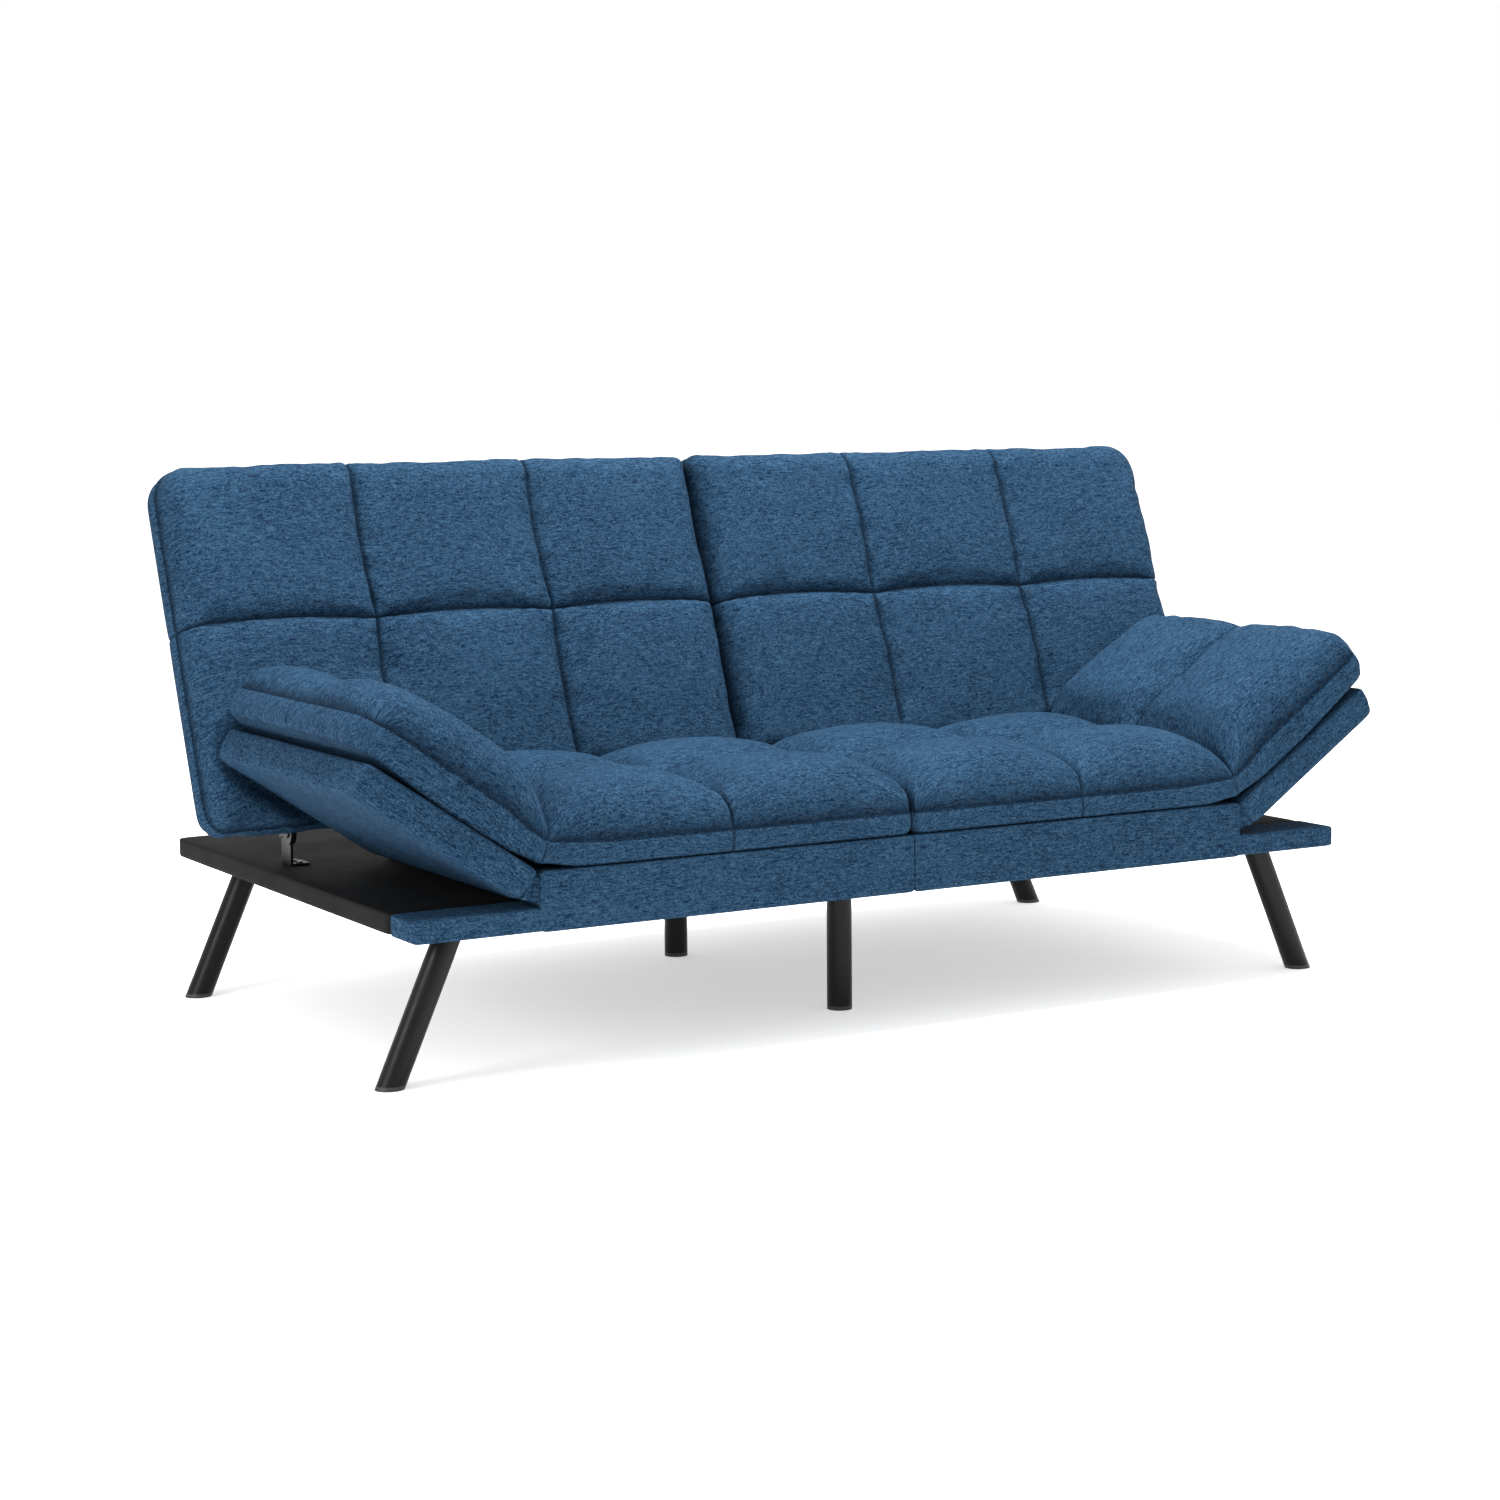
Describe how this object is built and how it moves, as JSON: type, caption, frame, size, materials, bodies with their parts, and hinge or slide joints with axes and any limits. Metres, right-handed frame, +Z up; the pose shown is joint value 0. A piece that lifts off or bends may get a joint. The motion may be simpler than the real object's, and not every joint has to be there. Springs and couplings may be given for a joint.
{
  "type": "futon sofa bed",
  "caption": "Low upholstered futon sofa bed with a split reclining back, folding side arms, tufted pads and splayed tube legs.",
  "frame": {"origin": "on the floor under the middle of the platform", "axes": "+X to the right as a person faces the seat from the front, +Y towards the back, +Z up"},
  "size_m": [1.76, 0.912, 0.8207],
  "materials": {
    "blue_fabric": "matte",
    "black_cover": "matte",
    "timber": "matte",
    "black_metal": "satin",
    "zinc_steel": "satin",
    "glide_plastic": "matte"
  },
  "bodies": {
    "base": {"base_frame_left": "timber", "base_cover_left": "black_cover", "base_apron_left": "blue_fabric", "seat_frame_left": "timber", "seat_cover_left": "blue_fabric", "seat_pad_left": "blue_fabric", "leg_front_left": "black_metal", "leg_rear_left": "black_metal", "glide_front_left": "glide_plastic", "glide_rear_left": "glide_plastic", "arm_hinge_base_left": "zinc_steel", "arm_hinge_pins_left": "zinc_steel", "back_hinge_base_left": "black_metal", "back_hinge_pins_left": "black_metal", "base_frame_right": "timber", "base_cover_right": "black_cover", "base_apron_right": "blue_fabric", "seat_frame_right": "timber", "seat_cover_right": "blue_fabric", "seat_pad_right": "blue_fabric", "leg_front_right": "black_metal", "leg_rear_right": "black_metal", "glide_front_right": "glide_plastic", "glide_rear_right": "glide_plastic", "arm_hinge_base_right": "zinc_steel", "arm_hinge_pins_right": "zinc_steel", "back_hinge_base_right": "black_metal", "back_hinge_pins_right": "black_metal", "leg_middle_front": "black_metal", "leg_middle_rear": "black_metal", "glide_middle_front": "glide_plastic", "glide_middle_rear": "glide_plastic", "leg_plates": "black_metal", "leg_screws": "zinc_steel", "seat_bolts": "zinc_steel", "centre_bolts": "zinc_steel", "centre_nuts": "zinc_steel", "hinge_base_screws": "zinc_steel"},
    "arm_left": {"arm_frame_left": "timber", "arm_cover_left": "blue_fabric", "arm_pad_left": "blue_fabric", "arm_hinge_leaf_left": "zinc_steel", "arm_hinge_screws_left": "zinc_steel"},
    "back_left": {"back_frame_left": "timber", "back_cover_left": "blue_fabric", "back_pad_left": "blue_fabric", "back_hinge_leaf_left": "black_metal", "back_hinge_screws_left": "zinc_steel"},
    "arm_right": {"arm_frame_right": "timber", "arm_cover_right": "blue_fabric", "arm_pad_right": "blue_fabric", "arm_hinge_leaf_right": "zinc_steel", "arm_hinge_screws_right": "zinc_steel"},
    "back_right": {"back_frame_right": "timber", "back_cover_right": "blue_fabric", "back_pad_right": "blue_fabric", "back_hinge_leaf_right": "black_metal", "back_hinge_screws_right": "zinc_steel"}
  },
  "joints": [
    {"name": "arm_left_tilt", "type": "hinge", "parent": "base", "child": "arm_left", "pos_m": [-0.6, -0.456, 0.291], "axis": [0, 1, 0], "range_deg": [-34, 41], "deforming": ["arm_pad_left"]},
    {"name": "arm_right_tilt", "type": "hinge", "parent": "base", "child": "arm_right", "pos_m": [0.6, -0.456, 0.291], "axis": [0, -1, 0], "range_deg": [-34, 41], "deforming": ["arm_pad_right"]},
    {"name": "back_left_recline", "type": "hinge", "parent": "base", "child": "back_left", "pos_m": [-0.3, 0.073, 0.291], "axis": [-1, 0, 0], "range_deg": [-4, 69], "deforming": ["back_pad_left"]},
    {"name": "back_right_recline", "type": "hinge", "parent": "base", "child": "back_right", "pos_m": [0.3, 0.073, 0.291], "axis": [-1, 0, 0], "range_deg": [-4, 69], "deforming": ["back_pad_right"]}
  ]
}
